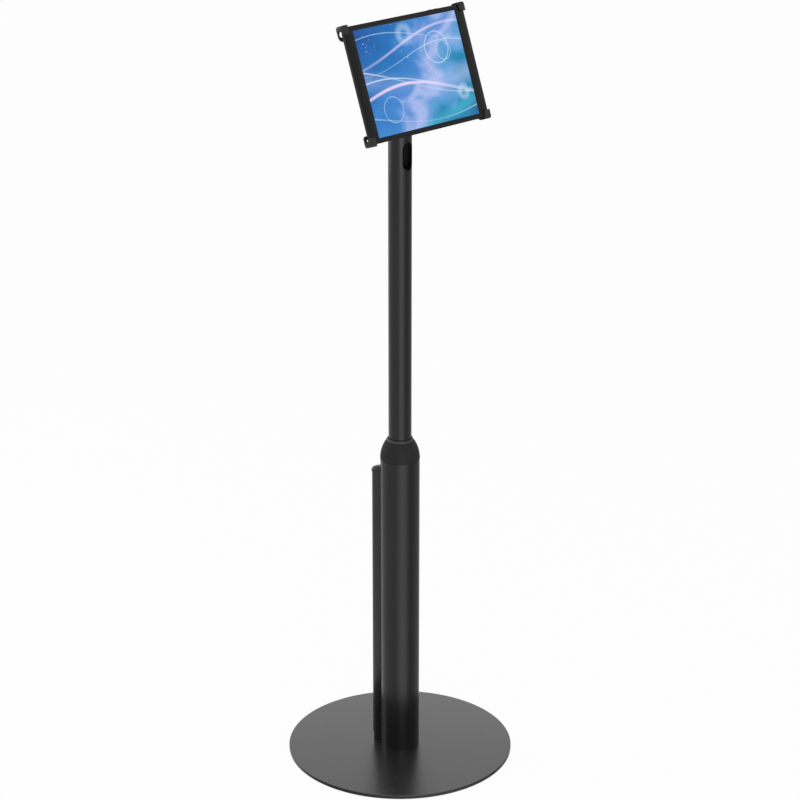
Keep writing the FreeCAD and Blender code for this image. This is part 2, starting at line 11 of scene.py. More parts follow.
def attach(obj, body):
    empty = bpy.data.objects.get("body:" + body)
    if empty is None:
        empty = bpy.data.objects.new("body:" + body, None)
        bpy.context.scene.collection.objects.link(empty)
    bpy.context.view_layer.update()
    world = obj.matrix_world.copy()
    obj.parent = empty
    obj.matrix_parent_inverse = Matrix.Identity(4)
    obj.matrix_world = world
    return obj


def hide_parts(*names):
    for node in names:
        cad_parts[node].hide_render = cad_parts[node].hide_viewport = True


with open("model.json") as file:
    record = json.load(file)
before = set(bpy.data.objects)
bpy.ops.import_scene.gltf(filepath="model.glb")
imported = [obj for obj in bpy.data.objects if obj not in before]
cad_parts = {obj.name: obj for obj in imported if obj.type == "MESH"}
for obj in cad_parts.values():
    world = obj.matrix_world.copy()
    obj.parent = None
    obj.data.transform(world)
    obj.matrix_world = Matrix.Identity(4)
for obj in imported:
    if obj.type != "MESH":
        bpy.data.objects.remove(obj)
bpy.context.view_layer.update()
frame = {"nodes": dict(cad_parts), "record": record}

scene = bpy.context.scene
mm = 0.001
bodyOf = {node: body for body, nodes in frame["record"]["behaviour"]["bodies"].items() for node in nodes}

stand = {  # levels, radii and places of the solids
    "lowerTop": 489.2, "lowerRadius": 30.0, "upperBottom": 380.2, "upperTop": 1050.2,
    "upperRadius": 17.5, "pivot": 1074.3, "lean": 20.0, "glassOffset": 37.3,
}
headPlace = Matrix.Translation((0, 0, stand["pivot"] * mm)) @ Matrix.Rotation(-math.radians(stand["lean"]), 4, "X")
headSpace = headPlace.inverted()


# Node trees for the finishes

def addNode(tree, kind, inputs=None, **settings):
    # An input takes a plain value, a socket, or a node whose first output is meant.
    node = tree.nodes.new(kind)
    for key, value in settings.items():
        setattr(node, key, value)
    for key, value in (inputs or {}).items():
        if isinstance(value, bpy.types.Node):
            value = value.outputs[0]
        if isinstance(value, bpy.types.NodeSocket):
            tree.links.new(value, node.inputs[key])
        else:
            node.inputs[key].default_value = value
    return node


def mathNode(tree, operation, a, b=0.0, c=0.0):
    return addNode(tree, "ShaderNodeMath", {0: a, 1: b, 2: c}, operation=operation).outputs[0]


def noiseNode(tree, coords, scale, detail=3.0, roughness=0.5, distortion=0.0):
    node = addNode(tree, "ShaderNodeTexNoise", {
        "Vector": coords, "Scale": scale, "Detail": detail, "Roughness": roughness, "Distortion": distortion})
    return node.outputs["Fac"]


def rangeNode(tree, value, low, high, toLow, toHigh, smooth=False):
    node = addNode(tree, "ShaderNodeMapRange", {
        "Value": value, "From Min": low, "From Max": high, "To Min": toLow, "To Max": toHigh},
        interpolation_type="SMOOTHSTEP" if smooth else "LINEAR")
    return node.outputs["Result"]


def mixColour(tree, factor, a, b):
    return addNode(tree, "ShaderNodeMix", {0: factor, 6: a, 7: b}, data_type="RGBA").outputs[2]


def rgba(colour):
    return (colour[0], colour[1], colour[2], 1.0)


def startMaterial(name):
    material = bpy.data.materials.new(name)
    material.use_nodes = True
    tree = material.node_tree
    shader = tree.nodes["Principled BSDF"]
    coords = tree.nodes.new("ShaderNodeTexCoord").outputs["Object"]
    return material, tree, shader, coords


coat = {  # what every coat has, unless its own look says otherwise
    "cloudScale": 22.0, "wear": 0.35, "grainGloss": 0.03, "bump": 0.25, "bumpDepth": 0.00006, "metal": 0.0,
    "ior": 1.5, "specular": 0.5, "grainShare": 0.45, "leastWear": 0.25,
    "grainNoise": (4.0, 0.55), "cloudNoise": (3.0, 0.6), "wearNoise": (160.0, 4.0, 0.65),
    "grainSpan": (0.35, 0.65), "cloudSpan": (0.3, 0.7), "wearSpan": (0.42, 0.66),
}


def finish(name, ownLook):
    # A coated, moulded or metal finish: grain, uneven gloss, faint clouds of colour and worn edges.
    look = {**coat, **ownLook}
    material, tree, shader, coords = startMaterial(name)
    stretched = coords
    if "stretch" in look:
        stretched = addNode(tree, "ShaderNodeMapping", {"Vector": coords, "Scale": look["stretch"]})
    grain = noiseNode(tree, stretched, look["grainScale"], *look["grainNoise"])
    clouds = noiseNode(tree, coords, look["cloudScale"], *look["cloudNoise"])
    cloudiness = rangeNode(tree, clouds, *look["cloudSpan"], 0.0, 1.0)
    speckle = rangeNode(tree, grain, *look["grainSpan"], 0.0, 1.0)
    lightness = mathNode(tree, "MULTIPLY_ADD", speckle, look["grainShare"],
                         mathNode(tree, "MULTIPLY", cloudiness, 1 - look["grainShare"]))
    colour = mixColour(tree, lightness, rgba(look["dark"]), rgba(look["light"]))
    edges = addNode(tree, "ShaderNodeAttribute", attribute_name="edgeWear").outputs["Fac"]
    patches = noiseNode(tree, coords, *look["wearNoise"])
    patches = rangeNode(tree, patches, *look["wearSpan"], look["leastWear"], 1.0)
    worn = mathNode(tree, "MULTIPLY", edges, mathNode(tree, "MULTIPLY", patches, look["wear"]))
    colour = mixColour(tree, worn, colour, rgba(look.get("wornColour", look["light"])))
    if "insideColour" in look:
        inside = addNode(tree, "ShaderNodeAttribute", attribute_name="insideFace").outputs["Fac"]
        colour = mixColour(tree, inside, colour, rgba(look["insideColour"]))
    gloss = rangeNode(tree, clouds, *look["cloudSpan"], *look["roughness"])
    gloss = mathNode(tree, "MULTIPLY_ADD", speckle, look["grainGloss"], gloss)
    bump = addNode(tree, "ShaderNodeBump", {
        "Strength": look["bump"], "Distance": look["bumpDepth"], "Height": grain})
    tree.links.new(colour, shader.inputs["Base Color"])
    tree.links.new(gloss, shader.inputs["Roughness"])
    tree.links.new(bump.outputs[0], shader.inputs["Normal"])
    shader.inputs["Metallic"].default_value = look["metal"]
    shader.inputs["IOR"].default_value = look["ior"]
    shader.inputs["Specular IOR Level"].default_value = look["specular"]
    return material


finishes = {  # linear colours
    "plateCoat": {"dark": (0.0062, 0.0064, 0.0072), "light": (0.0094, 0.0096, 0.0106), "grainScale": 1500.0,
        "roughness": (0.26, 0.28), "ior": 1.85, "bump": 0.12, "cloudScale": 60.0, "grainGloss": 0.02,
        "wornColour": (0.02, 0.02, 0.021)},
    "tubeCoat": {"dark": (0.0058, 0.0060, 0.0066), "light": (0.0090, 0.0092, 0.0100), "grainScale": 1500.0,
        "roughness": (0.18, 0.22), "specular": 0.29, "bump": 0.2, "wornColour": (0.03, 0.03, 0.032),
        "insideColour": (0.042, 0.042, 0.0435)},
    "coverCoat": {"dark": (0.0040, 0.0041, 0.0046), "light": (0.0064, 0.0066, 0.0072), "grainScale": 1500.0,
        "roughness": (0.21, 0.27), "specular": 0.42, "bump": 0.2, "wornColour": (0.03, 0.03, 0.032)},
    # domePlastic's worn colour is a painted highlight meant for the collar's top lip; the collar carries no edgeWear
    # mark, so it shows nowhere.
    "domePlastic": {"dark": (0.0205, 0.0208, 0.0218), "light": (0.0250, 0.0253, 0.0265), "grainScale": 2600.0,
        "roughness": (0.46, 0.54), "specular": 0.06, "bump": 0.35, "bumpDepth": 0.00004,
        "wornColour": (0.035, 0.035, 0.037)},
    "capPlastic": {"dark": (0.0085, 0.0087, 0.0094), "light": (0.0125, 0.0128, 0.0136), "grainScale": 2600.0,
        "roughness": (0.24, 0.30), "ior": 1.85, "bump": 0.3, "bumpDepth": 0.00004,
        "wornColour": (0.05, 0.05, 0.052)},
    "colletPlastic": {"dark": (0.016, 0.0162, 0.0170), "light": (0.0224, 0.0227, 0.0237), "grainScale": 2200.0,
        "roughness": (0.40, 0.48), "specular": 0.40, "bump": 0.3, "bumpDepth": 0.00004},
    "bushPlastic": {"dark": (0.006, 0.006, 0.0065), "light": (0.010, 0.010, 0.0105), "grainScale": 2200.0,
        "roughness": (0.55, 0.62), "specular": 0.25, "bump": 0.3},
    "clawPlastic": {"dark": (0.0080, 0.0082, 0.0087), "light": (0.0125, 0.0128, 0.0135), "grainScale": 2400.0,
        "roughness": (0.32, 0.42), "specular": 0.30, "bump": 0.45, "bumpDepth": 0.00005,
        "wornColour": (0.045, 0.045, 0.047), "wear": 0.5},
    "armCoat": {"dark": (0.012, 0.0122, 0.0128), "light": (0.018, 0.0182, 0.019), "grainScale": 1700.0,
        "roughness": (0.34, 0.42), "specular": 0.4, "bump": 0.3, "wornColour": (0.16, 0.16, 0.165), "wear": 0.5},
    "shellMetal": {"dark": (0.0105, 0.0108, 0.0116), "light": (0.0150, 0.0154, 0.0165), "grainScale": 5200.0,
        "roughness": (0.36, 0.42), "metal": 0.6, "bump": 0.3, "bumpDepth": 0.00002,
        "wornColour": (0.06, 0.06, 0.063), "wear": 0.2},
    "keyMetal": {"dark": (0.045, 0.046, 0.049), "light": (0.06, 0.061, 0.064), "grainScale": 5200.0,
        "roughness": (0.28, 0.34), "metal": 0.85, "bump": 0.2, "bumpDepth": 0.00002},
    "zinc": {"dark": (0.40, 0.41, 0.42), "light": (0.55, 0.56, 0.57), "grainScale": 1800.0,
        "roughness": (0.26, 0.38), "metal": 1.0, "bump": 0.3, "bumpDepth": 0.00003, "wornColour": (0.7, 0.7, 0.7)},
    "blackBolt": {"dark": (0.018, 0.018, 0.019), "light": (0.03, 0.03, 0.031), "grainScale": 1800.0,
        "roughness": (0.26, 0.36), "metal": 0.4, "bump": 0.3, "bumpDepth": 0.00003, "wornColour": (0.3, 0.3, 0.3),
        "wear": 0.6},
    "springSteel": {"dark": (0.30, 0.31, 0.33), "light": (0.44, 0.45, 0.47), "grainScale": 900.0,
        "stretch": (6.0, 1.0, 1.0), "roughness": (0.24, 0.34), "metal": 1.0, "bump": 0.3},
    "rubber": {"dark": (0.0045, 0.0045, 0.0048), "light": (0.0085, 0.0085, 0.009), "grainScale": 1400.0,
        "roughness": (0.62, 0.74), "specular": 0.25, "bump": 0.5, "bumpDepth": 0.00008},
    "linerRubber": {"dark": (0.0040, 0.0040, 0.0042), "light": (0.0056, 0.0056, 0.0058), "grainScale": 1400.0,
        "roughness": (0.70, 0.80), "specular": 0.04, "bump": 0.4, "bumpDepth": 0.00006},
    "foil": {"dark": (0.015, 0.015, 0.016), "light": (0.03, 0.03, 0.032), "grainScale": 700.0,
        "roughness": (0.35, 0.5), "bump": 0.4},
    "board": {"dark": (0.004, 0.035, 0.012), "light": (0.008, 0.07, 0.022), "grainScale": 700.0,
        "roughness": (0.35, 0.5), "bump": 0.3},
}
finishes["plateSidePaintedShade"] = dict(finishes["plateCoat"], specular=0.10)  # the same coats on upright faces with less gloss, which paints shade on the plate's rim
# The cap's upright faces get a duller copy of its coat too, which paints shade on them.
finishes["capSidePaintedShade"] = dict(finishes["capPlastic"], specular=0.16)
skins = {}
for finishName, finishLook in finishes.items():
    skins[finishName] = finish(finishName, finishLook)


marks = {  # finger marks and dust on any glass
    "smearNoise": (5.0, 0.65, 1.2), "smearSpan": (0.35, 0.75), "dustDetail": 2.0, "dustSpan": (0.72, 0.80)}


def smearedGloss(tree, coords, scale, roughness):
    smears = noiseNode(tree, coords, scale, *marks["smearNoise"])
    return rangeNode(tree, smears, *marks["smearSpan"], *roughness)


def glassFinish(name, look):
    # Black printed glass: a deep colour under a smooth coat, with faint smears in its gloss.
    material, tree, shader, coords = startMaterial(name)
    drawn = addNode(tree, "ShaderNodeMapping", {"Vector": coords, "Scale": look["smearStretch"]})
    dust = noiseNode(tree, coords, look["dustScale"], marks["dustDetail"])
    dust = rangeNode(tree, dust, *marks["dustSpan"], 0.0, look["dust"])
    colour = mixColour(tree, dust, rgba(look["colour"]), rgba(look["dustColour"]))
    tree.links.new(colour, shader.inputs["Base Color"])
    tree.links.new(smearedGloss(tree, drawn, look["smearScale"], look["roughness"]), shader.inputs["Roughness"])
    shader.inputs["Specular IOR Level"].default_value = look["specular"]
    return material


skins["bezelGlass"] = glassFinish("bezelGlass", {
    "colour": (0.0060, 0.0061, 0.0065), "roughness": (0.10, 0.19), "specular": 0.15, "smearScale": 38.0,
    "smearStretch": (1.0, 0.6, 2.2), "dustScale": 2600.0, "dust": 0.25, "dustColour": (0.08, 0.08, 0.085)})
skins["lensGlass"] = glassFinish("lensGlass", {
    "colour": (0.003, 0.004, 0.008), "roughness": (0.03, 0.08), "specular": 0.6, "smearScale": 200.0,
    "smearStretch": (1.0, 1.0, 1.0), "dustScale": 3000.0, "dust": 0.1, "dustColour": (0.05, 0.05, 0.06)})

wallpaper = {  # a plain made-up picture of crossing waves and rings; u runs right and v upwards, 0 to 1
    "stops": [(0.00, (0.0, 0.075, 0.34)), (0.20, (0.004, 0.15, 0.46)), (0.40, (0.035, 0.22, 0.60)),
              (0.58, (0.36, 0.46, 0.82)), (0.70, (0.10, 0.33, 0.66)), (0.84, (0.0, 0.23, 0.44)),
              (1.00, (0.0, 0.13, 0.30))],
    "bands": [  # level, swing, radians across, phase, half width, brightness, colour
        (0.58, 0.20, 2.0, 3.4, 0.150, 0.42, (0.50, 0.60, 0.96)),
        (0.30, 0.13, 3.3, 0.4, 0.024, 0.95, (0.92, 0.70, 1.00)),
        (0.34, 0.17, 2.7, 1.2, 0.010, 0.80, (0.72, 0.90, 1.00)),
        (0.44, 0.22, 2.2, 2.3, 0.012, 0.70, (0.80, 0.84, 1.00)),
        (0.66, 0.10, 4.1, 4.6, 0.009, 0.60, (0.60, 0.84, 1.00)),
        (0.76, 0.16, 2.9, 5.3, 0.020, 0.65, (0.84, 0.72, 1.00)),
        (0.84, 0.09, 3.6, 0.9, 0.008, 0.55, (0.55, 0.85, 1.00)),
        (0.14, 0.10, 3.0, 2.8, 0.010, 0.60, (0.62, 0.86, 1.00)),
        (0.10, 0.16, 2.3, 4.4, 0.090, 0.34, (0.10, 0.62, 0.78)),
    ],
    "rings": [  # across, up, radius, half width, brightness
        (0.74, 0.70, 0.150, 0.010, 0.55), (0.80, 0.66, 0.090, 0.007, 0.45), (0.20, 0.22, 0.120, 0.008, 0.40),
        (0.46, 0.88, 0.070, 0.060, 0.30), (0.90, 0.24, 0.050, 0.045, 0.35),
    ],
    "dots": [  # cells across, smallest and largest size, strength
        (11.0, 0.05, 0.16, 0.45), (30.0, 0.05, 0.20, 0.75)],
    "aspect": 1.333, "light": (0.70, 0.88, 1.0), "strength": 1.0,
    "clouds": (2.6, 3.0, 0.5, 0.6),  # scale, detail, roughness, distortion
    "slope": (0.62, -0.40, 0.75, 0.02),  # the share of u, v and clouds in a point's place on the stops, and its start
    "fade": (4.2, 0.35),  # radians across of each band's fading, and the share that is left of it
    "dotPatches": (3.4, 1.0, 0.48, 0.60),  # scale, detail and the span in which the dots come up
    "dotSpan": (0.2, 0.9), "dotEdge": 0.05,
    "smearScale": 38.0, "roughness": (0.10, 0.2), "colour": (0.006, 0.006, 0.007), "specular": 0.2,
}


def wallpaperFinish(name, look):
    material, tree, shader, coords = startMaterial(name)
    plane = addNode(tree, "ShaderNodeUVMap", uv_map="screenPlane")
    split = addNode(tree, "ShaderNodeSeparateXYZ", {"Vector": plane})
    u, v = split.outputs[0], split.outputs[1]
    alongU, alongV, cloudy, start = look["slope"]
    clouds = noiseNode(tree, plane, *look["clouds"])
    place = mathNode(tree, "MULTIPLY_ADD", u, alongU, mathNode(tree, "MULTIPLY", v, alongV))
    place = mathNode(tree, "ADD", place, mathNode(tree, "MULTIPLY_ADD", clouds, cloudy, start))
    ramp = addNode(tree, "ShaderNodeValToRGB", {"Fac": place})
    stops = ramp.color_ramp
    stops.interpolation = "EASE"
    while len(stops.elements) < len(look["stops"]):
        stops.elements.new(0.5)
    for stop, (position, colour) in zip(stops.elements, look["stops"]):
        stop.position = position
        stop.color = rgba(colour)
    picture = ramp.outputs[0]
    fading, left = look["fade"]
    for level, swing, radians, phase, halfWidth, brightness, colour in look["bands"]:
        angle = mathNode(tree, "MULTIPLY_ADD", u, radians, phase)
        line = mathNode(tree, "MULTIPLY_ADD", mathNode(tree, "SINE", angle), swing, level)
        away = mathNode(tree, "ABSOLUTE", mathNode(tree, "SUBTRACT", v, line))
        glow = rangeNode(tree, away, 0.0, halfWidth, brightness, 0.0, True)
        fade = mathNode(tree, "SINE", mathNode(tree, "MULTIPLY_ADD", u, fading, phase))
        fade = rangeNode(tree, fade, -1.0, 1.0, left, 1.0)
        picture = mixColour(tree, mathNode(tree, "MULTIPLY", glow, fade), picture, rgba(colour))
    wide = addNode(tree, "ShaderNodeMapping", {"Vector": plane, "Scale": (look["aspect"], 1.0, 1.0)})
    for across, up, radius, halfWidth, brightness in look["rings"]:
        reach = addNode(tree, "ShaderNodeVectorMath", {
            0: wide, 1: (across * look["aspect"], up, 0.0)}, operation="DISTANCE")
        away = mathNode(tree, "ABSOLUTE", mathNode(tree, "SUBTRACT", reach.outputs["Value"], radius))
        glow = rangeNode(tree, away, 0.0, halfWidth, brightness, 0.0, True)
        picture = mixColour(tree, glow, picture, rgba(look["light"]))
    scale, detail, low, high = look["dotPatches"]
    somewhere = rangeNode(tree, noiseNode(tree, plane, scale, detail), low, high, 0.0, 1.0, True)
    for across, smallest, largest, strength in look["dots"]:
        cells = addNode(tree, "ShaderNodeTexVoronoi", {"Vector": wide, "Scale": across})
        size = rangeNode(tree, cells.outputs["Color"], *look["dotSpan"], smallest, largest)
        disc = mathNode(tree, "SUBTRACT", size, cells.outputs["Distance"])
        disc = rangeNode(tree, disc, 0.0, look["dotEdge"], 0.0, strength, True)
        picture = mixColour(tree, mathNode(tree, "MULTIPLY", disc, somewhere), picture, rgba(look["light"]))
    tree.links.new(smearedGloss(tree, coords, look["smearScale"], look["roughness"]), shader.inputs["Roughness"])
    tree.links.new(picture, shader.inputs["Emission Color"])
    shader.inputs["Emission Strength"].default_value = look["strength"]
    shader.inputs["Base Color"].default_value = rgba(look["colour"])
    shader.inputs["Specular IOR Level"].default_value = look["specular"]
    return material


skins["wallpaper"] = wallpaperFinish("wallpaper", wallpaper)
print("finishes made:", len(skins))


# Shaping

def bakeModifiers(piece):
    # Turns the piece with its modifiers into a plain mesh.
    bpy.context.view_layer.update()
    graph = bpy.context.evaluated_depsgraph_get()
    mesh = bpy.data.meshes.new_from_object(piece.evaluated_get(graph))
    piece.modifiers.clear()
    piece.data = mesh
    return piece


def shade(piece, degrees=32):
    piece.data.shade_smooth()
    piece.data.set_sharp_from_angle(angle=math.radians(degrees))


def looseObject(name, verts, faces):
    mesh = bpy.data.meshes.new(name)
    mesh.from_pydata([tuple(v) for v in verts], [], faces)
    mesh.update()
    piece = bpy.data.objects.new(name, mesh)
    scene.collection.objects.link(piece)
    return piece


def bevelEdges(piece, width, steps=2, degrees=35):
    # Rounds the sharp edges, and marks the rounded faces so that a finish can wear there.
    while len(piece.data.materials) < 2:
        piece.data.materials.append(None)
    bevel = piece.modifiers.new("edges", "BEVEL")
    bevel.width = width
    bevel.segments = steps
    bevel.limit_method = "ANGLE"
    bevel.angle_limit = math.radians(degrees)
    bevel.material = 1
    bakeModifiers(piece)
    wear = piece.data.attributes.new("edgeWear", "FLOAT", "FACE")
    for index, face in enumerate(piece.data.polygons):
        wear.data[index].value = 1.0 if face.material_index == 1 else 0.0
        face.material_index = 0


def paintShadeOnSides(piece, skin, steepest):
    # Gives the upright faces a duller copy of the coat on the flat top, which paints shade on them.
    piece.data.materials.append(skins[skin])
    for face in piece.data.polygons:
        face.material_index = 1 if abs(face.normal.z) < steepest else 0


def carve(piece, cutters):
    for cutter in cutters:
        cut = piece.modifiers.new("cut", "BOOLEAN")
        cut.operation = "DIFFERENCE"
        cut.solver = "EXACT"
        cut.object = cutter
    bakeModifiers(piece)
    for cutter in cutters:
        bpy.data.objects.remove(cutter)


def tidyMesh(piece, flatten=True):
    work = bmesh.new()
    work.from_mesh(piece.data)
    bmesh.ops.remove_doubles(work, verts=work.verts, dist=2e-6)
    if flatten:
        bmesh.ops.dissolve_limit(work, angle_limit=math.radians(0.5), verts=work.verts, edges=work.edges)
    bmesh.ops.recalc_face_normals(work, faces=work.faces)
    work.to_mesh(piece.data)
    work.free()
    return piece


def dress(piece, body, skin, replaced=(), degrees=32):
    piece.data.materials.clear()
    piece.data.materials.append(skins[skin])
    shade(piece, degrees)
    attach(piece, body)
    if replaced:
        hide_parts(*replaced)
    return piece


def roundCorners(points, steps=6):
    # Each point is (a, b, radius). Returns the outline with its corners turned into arcs.
    outline = []
    count = len(points)
    for index, (a, b, radius) in enumerate(points):
        corner = Vector((a, b))
        if radius <= 0:
            outline.append(corner)
            continue
        before = (Vector(points[index - 1][:2]) - corner).normalized()
        after = (Vector(points[(index + 1) % count][:2]) - corner).normalized()
        half = before.angle(after) / 2
        centre = corner + (before + after).normalized() * (radius / math.sin(half))
        first = corner + before * (radius / math.tan(half)) - centre
        last = corner + after * (radius / math.tan(half)) - centre
        turn = first.angle_signed(last)
        for step in range(steps + 1):
            angle = -turn * step / steps
            spun = Vector((first.x * math.cos(angle) - first.y * math.sin(angle),
                           first.x * math.sin(angle) + first.y * math.cos(angle)))
            outline.append(centre + spun)
    return outline


def lathe(name, outline, steps=192):
    # Turns a closed outline of (radius, height) in millimetres round the Z axis.
    verts, faces = [], []
    count = len(outline)
    for step in range(steps):
        angle = 2 * math.pi * step / steps
        for radius, height in outline:
            verts.append((radius * math.cos(angle) * mm, radius * math.sin(angle) * mm, height * mm))
    for step in range(steps):
        here, there = step * count, (step + 1) % steps * count
        for index in range(count):
            follow = (index + 1) % count
            faces.append((here + index, there + index, there + follow, here + follow))
    return tidyMesh(looseObject(name, verts, faces), False)


def extrude(name, outline, low, high, toWorld):
    # A straight prism from a closed outline of millimetres. toWorld places (a, b, level).
    count = len(outline)
    verts = [toWorld(a, b, low) for a, b in outline] + [toWorld(a, b, high) for a, b in outline]
    faces = [tuple(range(count)), tuple(range(2 * count - 1, count - 1, -1))]
    for index in range(count):
        follow = (index + 1) % count
        faces.append((index, follow, count + follow, count + index))
    return tidyMesh(looseObject(name, verts, faces), False)


def stack(name, loops):
    # Joins loops of as many points each into a closed shell.
    count = len(loops[0])
    verts = [point for loop in loops for point in loop]
    faces = [tuple(range(count)), tuple(range(len(verts) - 1, len(verts) - count - 1, -1))]
    for row in range(len(loops) - 1):
        here, there = row * count, (row + 1) * count
        for index in range(count):
            follow = (index + 1) % count
            faces.append((here + index, here + follow, there + follow, there + index))
    return tidyMesh(looseObject(name, verts, faces), False)


def upright(a, b, level):
    return Vector((a, b, level)) * mm


def acrossBack(a, b, level):
    return Vector((a, level, b)) * mm


def onHead(a, b, level):
    # a to the right, b upwards and level behind the front of the glass, on the leaning head.
    return headPlace @ (Vector((a, level - stand["glassOffset"], b)) * mm)


def ring(a, b, wide, tall, steps=16):
    half = wide / 2
    rise = tall / 2 - half
    outline = []
    for index in range(steps + 1):
        angle = math.pi * index / steps
        outline.append((a + half * math.cos(angle), b + rise + half * math.sin(angle)))
    for index in range(steps + 1):
        angle = math.pi + math.pi * index / steps
        outline.append((a + half * math.cos(angle), b - rise + half * math.sin(angle)))
    return outline


def softened(node, width, skin, steps=2, degrees=35):
    # The solid's own shape with its sharp edges broken.
    source = frame["nodes"][node]
    piece = bpy.data.objects.new(node + "_soft", source.data.copy())
    scene.collection.objects.link(piece)
    for key in list(piece.data.attributes.keys()):
        if key.startswith("custom_normal") or key == "sharp_edge":
            piece.data.attributes.remove(piece.data.attributes[key])
    tidyMesh(piece)
    bevelEdges(piece, width * mm, steps, degrees)
    return dress(piece, bodyOf[node], skin, (node,))


# Base plate, its feet and its bolt

plate = {"radius": 175.0, "bottom": 0.5, "top": 6.2, "edge": 0.8, "lowEdge": 0.48, "boltHole": 5.2, "pocket": 8.694,
         "pocketTop": 3.3, "pocketEdge": 0.3, "steps": 256}
basePlate = lathe("basePlate", roundCorners([
    (plate["boltHole"], plate["pocketTop"], 0), (plate["pocket"], plate["pocketTop"], 0),
    (plate["pocket"], plate["bottom"], plate["pocketEdge"]), (plate["radius"], plate["bottom"], plate["lowEdge"]),
    (plate["radius"], plate["top"], plate["edge"]), (plate["boltHole"], plate["top"], 0)]), plate["steps"])
dress(basePlate, "stand", "plateCoat", ("base_plate",), 40)
# The plate's rim gets the duller coat: painted shade on its upright faces.
paintShadeOnSides(basePlate, "plateSidePaintedShade", 0.6)

softened("base_bolt", 0.4, "zinc")
print("base made")


def newTree(name, inputs):
    tree = bpy.data.node_groups.new(name, "GeometryNodeTree")
    tree.interface.new_socket("Geometry", in_out="INPUT", socket_type="NodeSocketGeometry")
    for label, kind in inputs:
        tree.interface.new_socket(label, in_out="INPUT", socket_type="NodeSocket" + kind)
    tree.interface.new_socket("Geometry", in_out="OUTPUT", socket_type="NodeSocketGeometry")
    given = {socket.name: socket for socket in tree.nodes.new("NodeGroupInput").outputs if socket.name}
    result = tree.nodes.new("NodeGroupOutput").inputs[0]
    return tree, given, result


def endTree(tree, geometry, material, result):
    solid = addNode(tree, "GeometryNodeRealizeInstances", {0: geometry})
    painted = addNode(tree, "GeometryNodeSetMaterial", {"Geometry": solid, "Material": material})
    tree.links.new(painted.outputs[0], result)


def joined(tree, *parts):
    join = addNode(tree, "GeometryNodeJoinGeometry")
    for part in parts:
        tree.links.new(part, join.inputs[0])
    return join.outputs[0]


def raised(tree, part, height):
    return addNode(tree, "GeometryNodeTransform", {
        "Geometry": part, "Translation": addNode(tree, "ShaderNodeCombineXYZ", {"Z": height})}).outputs[0]


def grow(name, tree, values, seats=((0, 0, 0),), aim=None):
    # Runs a tree on an object whose points are the seats, all facing the same way, and keeps the plain mesh.
    piece = looseObject(name, seats, [])
    if aim is not None:
        for point in piece.data.attributes.new("aim", "FLOAT_VECTOR", "POINT").data:
            point.vector = aim
    shape = piece.modifiers.new("shape", "NODES")
    shape.node_group = tree
    for item in tree.interface.items_tree:
        if item.in_out == "INPUT" and item.name in values:
            shape[item.identifier] = values[item.name]
    return bakeModifiers(piece)


feet = {"count": 6, "reach": 155.0, "length": 30.0, "width": 12.0, "thickness": 1.2, "edge": 0.2, "corner": 3.0,
        "cornerSteps": 6}


def padTree():
    tree, given, result = newTree("padsOnRing", [
        ("Count", "Int"), ("Reach", "Float"), ("Length", "Float"), ("Width", "Float"), ("Thickness", "Float"),
        ("Corner", "Float"), ("Skin", "Material")])
    outline = addNode(tree, "GeometryNodeCurvePrimitiveQuadrilateral", {
        "Width": given["Width"], "Height": given["Length"]})
    outline = addNode(tree, "GeometryNodeFilletCurve", {
        "Curve": outline, "Count": feet["cornerSteps"], "Radius": given["Corner"]}, mode="POLY")
    sole = addNode(tree, "GeometryNodeFillCurve", {"Curve": outline}, mode="NGONS")
    along = addNode(tree, "ShaderNodeCombineXYZ", {"Z": given["Thickness"]})
    sides = addNode(tree, "GeometryNodeExtrudeMesh", {
        "Mesh": sole, "Offset": along, "Offset Scale": 1.0, "Individual": False}, mode="FACES")
    under = addNode(tree, "GeometryNodeFlipFaces", {"Mesh": sole})
    pad = addNode(tree, "GeometryNodeMergeByDistance", {
        "Geometry": joined(tree, sides.outputs[0], under.outputs[0]), "Distance": 1e-6})
    circle = addNode(tree, "GeometryNodeMeshCircle", {"Vertices": given["Count"], "Radius": given["Reach"]})
    spin = addNode(tree, "ShaderNodeCombineXYZ", {"Z": mathNode(tree, "DIVIDE", math.pi, given["Count"])})
    circle = addNode(tree, "GeometryNodeTransform", {"Geometry": circle, "Rotation": spin})
    outward = addNode(tree, "FunctionNodeAlignRotationToVector", {
        "Vector": addNode(tree, "GeometryNodeInputPosition")}, axis="X", pivot_axis="Z")
    placed = addNode(tree, "GeometryNodeInstanceOnPoints", {"Points": circle, "Instance": pad, "Rotation": outward})
    endTree(tree, placed, given["Skin"], result)
    return tree


rubberFeet = grow("rubberFeet", padTree(), {
    "Count": feet["count"], "Reach": feet["reach"] * mm, "Length": feet["length"] * mm,
    "Width": feet["width"] * mm, "Thickness": feet["thickness"] * mm, "Corner": feet["corner"] * mm,
    "Skin": skins["rubber"]})
bevelEdges(rubberFeet, feet["edge"] * mm)
dress(rubberFeet, "stand", "rubber", ("rubber_feet",))


screwHead = {"sides": 40, "crown": 0.72}  # the crown's flat top as a share of the head's radius


